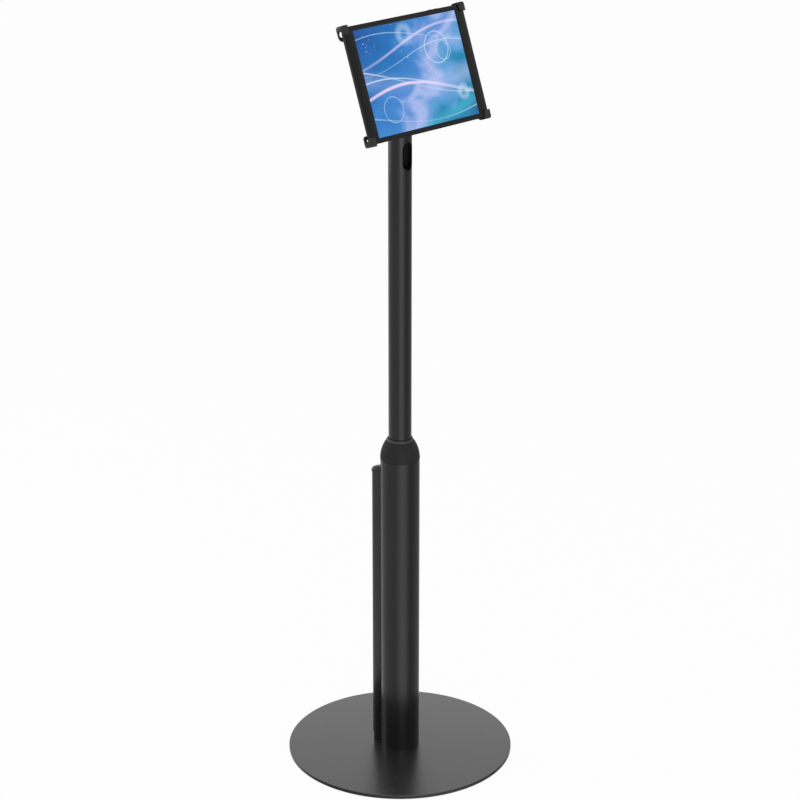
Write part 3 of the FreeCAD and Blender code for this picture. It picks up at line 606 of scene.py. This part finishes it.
def screwTree():
    # A drum below and a tapered crown above, half the height each, with a hexagon cut into the crown.
    tree, given, result = newTree("socketScrews", [
        ("Head radius", "Float"), ("Head height", "Float"), ("Socket across", "Float"), ("Skin", "Material")])
    radius, height = given["Head radius"], given["Head height"]
    rim = mathNode(tree, "MULTIPLY", height, 0.5)
    drum = addNode(tree, "GeometryNodeMeshCylinder", {
        "Vertices": screwHead["sides"], "Radius": radius, "Depth": rim})
    crown = addNode(tree, "GeometryNodeMeshCone", {
        "Vertices": screwHead["sides"], "Radius Top": mathNode(tree, "MULTIPLY", radius, screwHead["crown"]),
        "Radius Bottom": radius, "Depth": rim})
    hexagon = addNode(tree, "GeometryNodeMeshCylinder", {
        "Vertices": 6, "Radius": mathNode(tree, "DIVIDE", given["Socket across"], math.sqrt(3)), "Depth": height})
    head = joined(tree, raised(tree, drum, mathNode(tree, "MULTIPLY", rim, 0.5)), raised(tree, crown, rim))
    whole = addNode(tree, "GeometryNodeMeshBoolean", {
        "Mesh 1": head, "Mesh 2": raised(tree, hexagon, height), "Self Intersection": True},
        operation="DIFFERENCE", solver="EXACT")
    aim = addNode(tree, "GeometryNodeInputNamedAttribute", {"Name": "aim"}, data_type="FLOAT_VECTOR")
    turned = addNode(tree, "FunctionNodeAlignRotationToVector", {"Vector": aim}, axis="Z")
    placed = addNode(tree, "GeometryNodeInstanceOnPoints", {
        "Points": given["Geometry"], "Instance": whole, "Rotation": turned})
    endTree(tree, placed, given["Skin"], result)
    return tree


socketScrews = screwTree()


def screws(name, body, seats, aim, size):
    piece = grow(name, socketScrews, {
        "Head radius": size["radius"] * mm, "Head height": size["height"] * mm, "Socket across": size["socket"] * mm,
        "Skin": skins["blackBolt"]}, seats, aim)
    dress(tidyMesh(piece), body, "blackBolt", degrees=30)


# Lower tube, cable cover and its cap

coverTurn = 25.0  # degrees from straight behind to where the cover stands


def onCoverSide(piece):
    piece.data.transform(Matrix.Rotation(math.radians(coverTurn), 4, "Z"))
    return piece


def markInside(piece, bore):
    # Marks the bore's wall, which the black coat hasn't reached, and not the rings at its ends.
    inside = piece.data.attributes.new("insideFace", "FLOAT", "FACE")
    widest, steepest = (bore + 0.1) * mm, 0.5
    for index, face in enumerate(piece.data.polygons):
        reach = math.hypot(face.center.x, face.center.y)
        inside.data[index].value = 1.0 if reach < widest and abs(face.normal.z) < steepest else 0.0


tube = {"bottom": 6.2, "bore": 28.0, "floorTop": 16.2, "thread": 5.05, "foot": 0.3, "mouth": 0.5, "boreMouth": 0.4,
        "weld": 1.0, "windowHalf": 5.0, "windowLow": 402.2, "windowHigh": 438.2, "windowCorner": 0.6,
        "windowCut": (10.0, 40.0)}
radius, top = stand["lowerRadius"], stand["lowerTop"]
lowerTube = lathe("lowerTube", roundCorners([
    (tube["thread"], tube["bottom"], 0), (radius, tube["bottom"], tube["foot"]), (radius, top, tube["mouth"]),
    (tube["bore"], top, tube["boreMouth"]), (tube["bore"], tube["floorTop"], tube["weld"]),
    (tube["thread"], tube["floorTop"], 0)]))
half, low, high, corner = tube["windowHalf"], tube["windowLow"], tube["windowHigh"], tube["windowCorner"]
window = extrude("window", roundCorners([
    (-half, low, corner), (half, low, corner), (half, high, corner), (-half, high, corner)], 3),
    *tube["windowCut"], acrossBack)
carve(lowerTube, [onCoverSide(window)])
markInside(lowerTube, tube["bore"])
dress(lowerTube, "stand", "tubeCoat", ("lower_tube",))

cover = {"half": 8.0, "wall": 1.5, "centre": 36.5, "bottom": 6.4, "top": 467.7, "notchHalf": 4.5, "notchTall": 14.0,
         "steps": 40, "edge": 0.35, "clearRadius": 30.05, "swell": 0.6}


def onTube(a):
    return math.sqrt(cover["clearRadius"] ** 2 - a ** 2)


def arch(half, tip, level):
    # Half an ellipse from right to left: the cover's back starts at the tube, its inside further out.
    points = []
    for step in range(cover["steps"] + 1):
        angle = math.pi * step / cover["steps"]
        points.append((half * math.cos(angle), level + tip * math.sin(angle)))
    return points


outer, inner = cover["half"], cover["half"] - cover["wall"]
outerTip = outer + cover["centre"] - stand["lowerRadius"] + cover["swell"]
outline = [(outer, onTube(outer))] + arch(outer, outerTip, stand["lowerRadius"]) + [(-outer, onTube(outer))]
outline += [(-inner, onTube(inner))] + arch(inner, inner, cover["centre"])[::-1] + [(inner, onTube(inner))]
cableCover = extrude("cableCover", outline, cover["bottom"], cover["top"], upright)
notch = extrude("notch", ring(0, cover["bottom"], 2 * cover["notchHalf"], 2 * cover["notchTall"]),
                cover["centre"], cover["centre"] + 2 * outer, acrossBack)
carve(cableCover, [notch])
tidyMesh(cableCover)
bevelEdges(cableCover, cover["edge"] * mm, degrees=40)
onCoverSide(cableCover)
dress(cableCover, "stand", "coverCoat", ("cable_cover",))

lid = {"bottom": 462.4, "rim": 464.6, "top": 473.2, "edge": 0.3, "overhang": 1.0, "last": 76.0, "steps": 12,
       "seat": 16, "plugDepth": 6.0, "plugOverlap": 0.2, "plugPlay": 0.1, "plugFront": 30.1, "plugCorner": 0.4}


def lidLoop(share, level):
    # The cover's outline, grown by the overhang, with a hollow seat along the tube.
    half = (outer + lid["overhang"]) * share
    loop = arch(half, (outerTip + lid["overhang"]) * share, stand["lowerRadius"]) + [(-half, onTube(half))]
    for step in range(1, lid["seat"]):
        a = half * (2 * step / lid["seat"] - 1)
        loop.append((a, onTube(a)))
    return [upright(a, b, level) for a, b in loop + [(half, onTube(half))]]


loops = [lidLoop(1 - lid["edge"] / outer, lid["bottom"]), lidLoop(1, lid["bottom"] + lid["edge"])]
for step in range(lid["steps"] + 1):
    angle = math.radians(lid["last"]) * step / lid["steps"]
    loops.append(lidLoop(math.cos(angle), lid["rim"] + (lid["top"] - lid["rim"]) * math.sin(angle)))
coverCap = stack("coverCap", loops)
half, front, back, corner = inner - lid["plugPlay"], lid["plugFront"], cover["centre"], lid["plugCorner"]
plug = extrude("plug", roundCorners([
    (-half, front, 0), (half, front, 0), (half, back, corner), (-half, back, corner)], 3),
    cover["top"] - lid["plugDepth"], cover["top"] + lid["plugOverlap"], upright)
work = bmesh.new()
work.from_mesh(coverCap.data)
work.from_mesh(plug.data)
work.to_mesh(coverCap.data)
work.free()
bpy.data.objects.remove(plug)
onCoverSide(coverCap)
dress(coverCap, "stand", "capPlastic", ("cover_cap",))
# The cap's upright faces get the duller coat: painted shade on its sides.
paintShadeOnSides(coverCap, "capSidePaintedShade", 0.85)
print("column made")

# Domed collar and the upper tube

dome = {"bottom": 489.5, "height": 28.8, "arc": 51.0, "margin": 0.25, "seat": 19.4, "foot": 0.3, "rows": 48,
        "rim": 0.4, "seatEdge": 0.1, "steps": 256}
centre = stand["lowerRadius"] + dome["margin"] - dome["arc"]
topLevel = dome["bottom"] + dome["height"]
outline = [(dome["seat"], dome["bottom"]), (centre + dome["arc"] - dome["foot"], dome["bottom"])]
for step in range(dome["rows"] + 1):
    rise = dome["foot"] + (dome["height"] - dome["rim"] - dome["foot"]) * step / dome["rows"]
    outline.append((centre + math.sqrt(dome["arc"] ** 2 - rise ** 2), dome["bottom"] + rise))
outline += [(outline[-1][0] - dome["rim"], topLevel), (dome["seat"] + dome["seatEdge"], topLevel),
            (dome["seat"], topLevel - dome["seatEdge"])]
domeCollar = lathe("domeCollar", outline, dome["steps"])
dress(domeCollar, "collar", "domePlastic", ("dome_collar",), 50)

upper = {"bore": 15.5, "edge": 0.4, "boreEdge": 0.3, "slotWide": 19.0, "slotTall": 42.0, "slotLevel": 961.6,
         "slotSteps": 32, "slotCut": (-30.0, 0.0)}
radius, low, high = stand["upperRadius"], stand["upperBottom"], stand["upperTop"]
upperTube = lathe("upperTube", roundCorners([
    (upper["bore"], low, upper["boreEdge"]), (radius, low, upper["edge"]), (radius, high, upper["edge"]),
    (upper["bore"], high, upper["boreEdge"])], 4))
slotCut = extrude("slotCut", ring(0, upper["slotLevel"], upper["slotWide"], upper["slotTall"], upper["slotSteps"]),
                  *upper["slotCut"], acrossBack)
carve(upperTube, [slotCut])
markInside(upperTube, upper["bore"])
dress(upperTube, "mast", "tubeCoat", ("upper_tube",))

liner = {  # its section from the slot's edge inwards, as (inset, height above the tube); None is the bore's depth
    "section": [(0.05, None), (0.05, 0.3), (0.17, 0.52), (0.45, 0.6), (1.5, 0.6), (1.85, 0.48), (2.0, 0.15),
                (2.0, None)]}


def linerShape():
    # The sleeve's section is carried round the slot, and its lip follows the tube.
    inside = -math.sqrt(upper["bore"] ** 2 - (upper["slotWide"] / 2) ** 2)
    verts, faces = [], []
    for inset, proud in liner["section"]:
        wide, tall = upper["slotWide"] - 2 * inset, upper["slotTall"] - 2 * inset
        loop = ring(0, upper["slotLevel"], wide, tall, upper["slotSteps"])
        for a, b in loop:
            depth = inside if proud is None else -math.sqrt((stand["upperRadius"] + proud) ** 2 - a ** 2)
            verts.append(Vector((a, depth, b)) * mm)
    count, rows = len(loop), len(liner["section"])
    for row in range(rows):
        here, there = row * count, (row + 1) % rows * count
        for index in range(count):
            ahead = (index + 1) % count
            faces.append((here + index, here + ahead, there + ahead, there + index))
    return tidyMesh(looseObject("slotLiner", verts, faces), False)


dress(linerShape(), "mast", "linerRubber", ("slot_liner",), 45)

softened("collet_bush", 0.2, "bushPlastic")
lip = {"bore": 18.0, "radius": 20.6, "tip": 19.12, "bottom": 518.5, "shoulder": 519.3, "top": 522.3, "edge": 0.3,
       "lowEdge": 0.15}
colletLip = lathe("colletLip", roundCorners([
    (lip["bore"], lip["bottom"], 0), (lip["radius"], lip["bottom"], lip["lowEdge"]),
    (lip["radius"], lip["shoulder"], lip["edge"]), (lip["tip"], lip["top"], lip["edge"]),
    (lip["bore"], lip["top"], 0)], 3))
dress(colletLip, "stand", "colletPlastic", degrees=40)
softened("tilt_yoke", 0.5, "armCoat")
print("mast made")

# Tilt joint, hub, arms and claws

softened("tilt_bracket", 0.5, "armCoat", 3)
softened("tilt_bolt", 0.45, "blackBolt")
softened("tilt_nut", 0.45, "blackBolt")
backwards = headPlace.to_3x3() @ Vector((0, 1, 0))
nutGap = 0.03  # to the bracket that the nut turns against
swivelNut = softened("swivel_nut", 0.45, "blackBolt")
swivelNut.data.transform(Matrix.Translation(backwards * nutGap * mm))
softened("hub_housing", 0.7, "armCoat", 3)
softened("hub_cover", 0.4, "armCoat")
softened("hub_pads", 0.15, "rubber")
corners = ("top_left", "top_right", "bottom_left", "bottom_right")
for corner in corners:
    softened("arm_" + corner, 0.4, "armCoat")
    softened("claw_" + corner, 0.45, "clawPlastic", 3, 40)
    softened("claw_lining_" + corner, 0.15, "rubber")

clawScrews = {"places": (121.0, 128.5), "diagonal": (0.8203, 0.5719), "level": 13.5, "radius": 2.4, "height": 1.5,
              "socket": 2.0}
for corner in corners:
    rise, side = corner.split("_")
    seats = []
    for place in clawScrews["places"]:
        across = place * clawScrews["diagonal"][0] * (1 if side == "right" else -1)
        upwards = place * clawScrews["diagonal"][1] * (1 if rise == "top" else -1)
        seats.append(onHead(across, upwards, clawScrews["level"]))
    screws("clawScrews_" + corner, "arm_" + corner, seats, backwards, clawScrews)
hubScrews = {"across": 46.0, "upwards": 26.0, "level": 16.2, "radius": 2.9, "height": 1.7, "socket": 2.5}
seats = []
for a, b in ((-1, -1), (1, -1), (-1, 1), (1, 1)):
    seats.append(onHead(a * hubScrews["across"], b * hubScrews["upwards"], hubScrews["level"]))
screws("hubScrews", "holder", seats, backwards, hubScrews)
yokeScrews = {"levels": (1028.0, 1042.0), "radius": 2.6, "height": 1.5, "socket": 2.5}
screws("yokeScrews", "mast", [(0, stand["upperRadius"] * mm, level * mm) for level in yokeScrews["levels"]],
       (0, 1, 0), yokeScrews)

# Tablet

softened("tablet_shell", 0.5, "shellMetal", 3)
softened("bezel_glass", 0.18, "bezelGlass")
for key in ("power_button", "volume_down_button", "volume_up_button"):
    softened(key, 0.3, "keyMetal", 3)
screenFace = softened("display_panel", 0.05, "wallpaper", 1)
screen = {"wide": 203.5, "tall": 152.7}
plane = screenFace.data.uv_layers.new(name="screenPlane")
for loop in screenFace.data.loops:
    local = headSpace @ screenFace.data.vertices[loop.vertex_index].co
    plane.data[loop.index].uv = (local.x / (screen["wide"] * mm) + 0.5, local.z / (screen["tall"] * mm) + 0.5)


def onHeadAxis(piece, a, b, level):
    # Sets a turned piece with its axis pointing back from the head.
    piece.data.transform(headPlace @ Matrix.Translation(Vector((a, level - stand["glassOffset"], b)) * mm)
                         @ Matrix.Rotation(-math.pi / 2, 4, "X"))


lens = {"across": 78.0, "upwards": 73.0, "level": 7.45, "radius": 4.4, "height": 0.75, "edge": 0.2, "glass": 3.3,
        "overlap": 0.02, "sunk": 0.15, "shoulder": 1.98, "shoulderSunk": 0.08, "pupil": 0.35, "pupilSunk": 0.05,
        "steps": 64}
lensRing = lathe("lensRing", roundCorners([
    (lens["glass"], 0, 0), (lens["radius"], 0, 0), (lens["radius"], lens["height"], lens["edge"]),
    (lens["glass"], lens["height"], lens["edge"])], 3), lens["steps"])
radius, height = lens["glass"] + lens["overlap"], lens["height"]
lensPane = lathe("lensPane", [
    (lens["pupil"], 0), (radius, 0), (radius, height - lens["sunk"]),
    (lens["shoulder"], height - lens["shoulderSunk"]), (lens["pupil"], height - lens["pupilSunk"])], lens["steps"])
for piece, skin, slotName in ((lensRing, "keyMetal", "tablet_aluminium"), (lensPane, "lensGlass", "bezel_glass")):
    onHeadAxis(piece, lens["across"], lens["upwards"], lens["level"])
    dress(piece, bodyOf["tablet_shell"], skin, degrees=40)

holes = {"columns": 7, "rows": 2, "pitch": 2.1, "radius": 0.6, "depth": 0.06, "sides": 20, "taper": 0.8,
         "level": 3.6, "places": (-30.0, 30.0), "side": 120.02}


def dotTree():
    tree, given, result = newTree("rowsOfHoles", [
        ("Columns", "Int"), ("Rows", "Int"), ("Pitch", "Float"), ("Radius", "Float"), ("Depth", "Float"),
        ("Skin", "Material")])
    long = mathNode(tree, "MULTIPLY", mathNode(tree, "SUBTRACT", given["Columns"], 1.0), given["Pitch"])
    tall = mathNode(tree, "MULTIPLY", mathNode(tree, "SUBTRACT", given["Rows"], 1.0), given["Pitch"])
    grid = addNode(tree, "GeometryNodeMeshGrid", {
        "Size X": long, "Size Y": tall, "Vertices X": given["Columns"], "Vertices Y": given["Rows"]})
    hole = addNode(tree, "GeometryNodeMeshCone", {
        "Vertices": holes["sides"], "Radius Top": mathNode(tree, "MULTIPLY", given["Radius"], holes["taper"]),
        "Radius Bottom": given["Radius"], "Depth": given["Depth"]})
    placed = addNode(tree, "GeometryNodeInstanceOnPoints", {"Points": grid, "Instance": hole})
    endTree(tree, placed, given["Skin"], result)
    return tree


holeRows = dotTree()
facing = Matrix(((0, 0, 1, 0), (0, 1, 0, 0), (-1, 0, 0, 0), (0, 0, 0, 1)))  # columns up the side, axis out of it
for index, place in enumerate(holes["places"]):
    piece = grow("speakerHoles_%d" % index, holeRows, {
        "Columns": holes["columns"], "Rows": holes["rows"], "Pitch": holes["pitch"] * mm,
        "Radius": holes["radius"] * mm, "Depth": holes["depth"] * mm, "Skin": skins["rubber"]})
    seat = Matrix.Translation(Vector((holes["side"], holes["level"] - stand["glassOffset"], place)) * mm)
    piece.data.transform(headPlace @ seat @ facing)
    dress(tidyMesh(piece, False), bodyOf["tablet_shell"], "rubber", degrees=30)

eyelets = {  # top and bottom are rise, hole radius and wall
    "across": 116.5, "top": (74.75, 4.7, 0.3), "bottom": (-76.25, 2.9, 0.6), "front": 7.65, "rear": 10.5,
    "flange": 0.6, "thick": 0.4, "play": 0.02, "innerEdge": 0.1, "outerEdge": 0.15, "steps": 48}
for corner in corners:
    end, side = corner.split("_")
    rise, radius, wall = eyelets[end]
    rear, out = eyelets["rear"] - eyelets["front"], radius - eyelets["play"]
    flange, back = out + eyelets["flange"], rear + eyelets["thick"]
    eyelet = lathe("eyelet_" + corner, roundCorners([
        (out - wall, 0, eyelets["innerEdge"]), (out, 0, 0), (out, rear, 0), (flange, rear, 0),
        (flange, back, eyelets["outerEdge"]), (out - wall, back, eyelets["outerEdge"])], 3), eyelets["steps"])
    onHeadAxis(eyelet, eyelets["across"] * (1 if side == "right" else -1), rise, eyelets["front"])
    dress(eyelet, bodyOf["claw_" + corner], "rubber", degrees=40)
print("head made")

# Nodes that keep their own shape

kept = {"cover_clips": "springSteel", "glide_bush": "bushPlastic", "swivel_bolt": "blackBolt",
        "battery_cells": "foil", "logic_board": "board"}
for node, skin in kept.items():
    slots = frame["nodes"][node].data.materials
    slots.clear()
    slots.append(skins[skin])

# Floor, light and camera

def shownRays(tree):
    # Which rays end in the picture, straight or by way of a gloss or a pane.
    rays = tree.nodes.new("ShaderNodeLightPath").outputs
    bent = mathNode(tree, "MAXIMUM", rays["Is Glossy Ray"], rays["Is Transmission Ray"])
    return rays["Is Glossy Ray"], mathNode(tree, "MAXIMUM", rays["Is Camera Ray"], bent)


def pale(name, colour, veil, paintedReflections):
    # Pale for every ray that shows it, with the object's shadow left in. Gloss also sees painted reflections on it:
    # soft brighter and darker wedges of glow that fan out round the stand, standing in for studio lamps and dark
    # cards, as (bearing, half width, change) in degrees.
    material = bpy.data.materials.new(name)
    material.use_nodes = True
    tree = material.node_tree
    tree.nodes.clear()
    glossy, shown = shownRays(tree)
    place = tree.nodes.new("ShaderNodeTexCoord").outputs["Object"]
    split = addNode(tree, "ShaderNodeSeparateXYZ", {"Vector": place})
    bearing = mathNode(tree, "ARCTAN2", split.outputs[1], split.outputs[0])
    level = 1.0
    for degrees, halfWidth, change in paintedReflections:
        turned = mathNode(tree, "SUBTRACT", bearing, math.radians(degrees))
        away = mathNode(tree, "ABSOLUTE", mathNode(tree, "WRAP", turned, math.pi, -math.pi))
        level = mathNode(tree, "ADD", rangeNode(tree, away, 0.0, math.radians(halfWidth), change, 0.0, True), level)
    level = mathNode(tree, "MULTIPLY_ADD", mathNode(tree, "SUBTRACT", level, 1.0), glossy, 1.0)
    matt = addNode(tree, "ShaderNodeBsdfDiffuse", {"Color": rgba(colour)})
    glow = addNode(tree, "ShaderNodeEmission", {"Color": rgba((1, 1, 1)), "Strength": level})
    mix = addNode(tree, "ShaderNodeMixShader", {
        0: mathNode(tree, "MULTIPLY", shown, veil), 1: matt, 2: glow})
    end = tree.nodes.new("ShaderNodeOutputMaterial")
    tree.links.new(mix.outputs[0], end.inputs["Surface"])
    return material


# The floor's painted reflections: wedges that glow brighter or darker for gloss rays only.
studio = {"floorSize": 40.0, "floorColour": (0.86, 0.86, 0.87), "veil": 0.96, "ambient": 0.62,
          "paintedReflections": [(240.0, 45.0, 1.35), (292.0, 40.0, -0.45), (350.0, 60.0, -0.5)]}
half = studio["floorSize"] / 2
floor = looseObject("floor", [(-half, -half, 0), (half, -half, 0), (half, half, 0), (-half, half, 0)], [(0, 1, 2, 3)])
floor.data.materials.append(pale("paleFloor", studio["floorColour"], studio["veil"], studio["paintedReflections"]))

world = bpy.data.worlds.new("studio")
scene.world = world
world.use_nodes = True
tree = world.node_tree
tree.nodes.clear()
shown = shownRays(tree)[1]
ambient = addNode(tree, "ShaderNodeBackground", {"Color": rgba((1, 1, 1)), "Strength": studio["ambient"]})
white = addNode(tree, "ShaderNodeBackground", {"Color": rgba((1, 1, 1)), "Strength": 1.0})
mix = addNode(tree, "ShaderNodeMixShader", {0: shown, 1: ambient, 2: white})
end = tree.nodes.new("ShaderNodeOutputWorld")
tree.links.new(mix.outputs[0], end.inputs["Surface"])


def softbox(name, light):
    lamp = bpy.data.lights.new(name, "AREA")
    lamp.shape = "RECTANGLE"
    lamp.size, lamp.size_y = light["size"]
    lamp.energy = light["radiance"] * math.pi * light["size"][0] * light["size"][1]
    box = bpy.data.objects.new(name, lamp)
    scene.collection.objects.link(box)
    box.location = light["place"]
    facing = Vector(light["target"]) - Vector(light["place"])
    box.rotation_euler = facing.to_track_quat("-Z", "Y").to_euler()
    box.visible_camera = False


lights = {
    "sideBox": {"place": (-1.0, 1.9, 1.32), "target": (0, 0, 1.07), "size": (0.9, 1.5), "radiance": 2.3},
    "frontBox": {"place": (-1.35, -2.05, 1.1), "target": (0, 0, 0.8), "size": (0.35, 1.5), "radiance": 0.75},
    "lowBox": {"place": (-1.85, -3.1, 1.3), "target": (0, 0, 0.0), "size": (2.6, 1.2), "radiance": 3.0},
    "topBox": {"place": (-0.6, -0.8, 2.9), "target": (0, 0, 0.6), "size": (1.6, 1.6), "radiance": 1.3},
}
for name, light in lights.items():
    softbox(name, light)

view = {"place": (-2.4840, -2.4840, 1.8839), "tilt": 69.23, "turn": -45.0, "lens": 112.226, "sensor": 36.0,
        "shift": 0.024}
cameraData = bpy.data.cameras.new("camera")
cameraData.lens = view["lens"]
cameraData.sensor_width = view["sensor"]
cameraData.shift_y = view["shift"]
camera = bpy.data.objects.new("camera", cameraData)
camera.location = view["place"]
camera.rotation_euler = (math.radians(view["tilt"]), 0, math.radians(view["turn"]))
scene.collection.objects.link(camera)
scene.camera = camera
scene.view_settings.view_transform = "Standard"
print("studio made")
